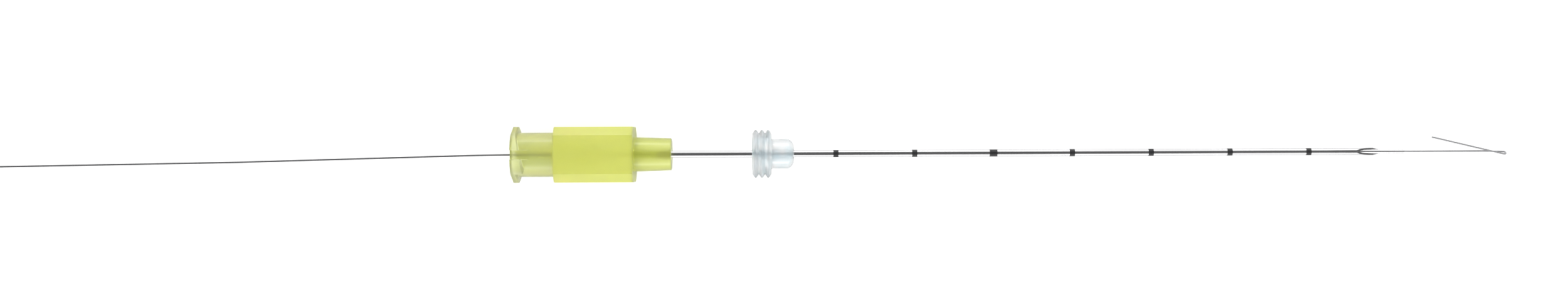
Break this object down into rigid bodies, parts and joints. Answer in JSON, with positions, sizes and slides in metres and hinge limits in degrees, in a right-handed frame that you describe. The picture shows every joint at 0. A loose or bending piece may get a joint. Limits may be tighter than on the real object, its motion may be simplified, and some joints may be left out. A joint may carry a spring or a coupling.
{
  "type": "breast lesion localization needle",
  "caption": "Bevelled marking needle in a luer lock hub, with depth marks, a sliding silicone depth stop and a hooked spring wire through its bore.",
  "frame": {"origin": "middle of the luer socket's mouth, on the needle's axis", "axes": "+X along the needle from the mouth to the point, +Z out of the side that the bevel and the hub's slot face, +Y towards the side that the barb opens to"},
  "size_m": [0.2, 0.0072, 0.0078],
  "materials": {
    "hub": "translucent yellow-green moulded polypropylene",
    "needle_steel": "drawn stainless steel with a fine polish",
    "adhesive": "clear cured epoxy, faintly amber",
    "mark_ink": "matt black marking",
    "stop_silicone": "clear silicone, faintly blue",
    "wire_steel": "drawn spring steel"
  },
  "bodies": {
    "needle": {"hub": "hub", "cannula": "needle_steel", "bond_bead": "adhesive", "depth_marks": "mark_ink"},
    "stop": {"depth_stop": "stop_silicone"},
    "sleeve": {"wire_sleeve": "needle_steel"},
    "wire": {"hook_wire": "wire_steel"},
    "barb": {"hook_barb": "wire_steel"}
  },
  "joints": [
    {"name": "stop_slide", "type": "slide", "parent": "needle", "child": "stop", "axis": [1, 0, 0], "range_m": [-0.0101, 0.071]},
    {"name": "wire_slide", "type": "slide", "parent": "needle", "child": "sleeve", "axis": [1, 0, 0], "range_m": [-0.005, 0.02]},
    {"name": "wire_spin", "type": "hinge", "parent": "sleeve", "child": "wire", "pos_m": [0.1, 0, 0], "axis": [1, 0, 0], "continuous": true},
    {"name": "barb_fold", "type": "hinge", "parent": "wire", "child": "barb", "pos_m": [0.12584, -0.00038, 0.00022], "axis": [0, 0, 1], "range_deg": [0, 12.5], "stiffness_Nm_per_rad": 0.005}
  ]
}
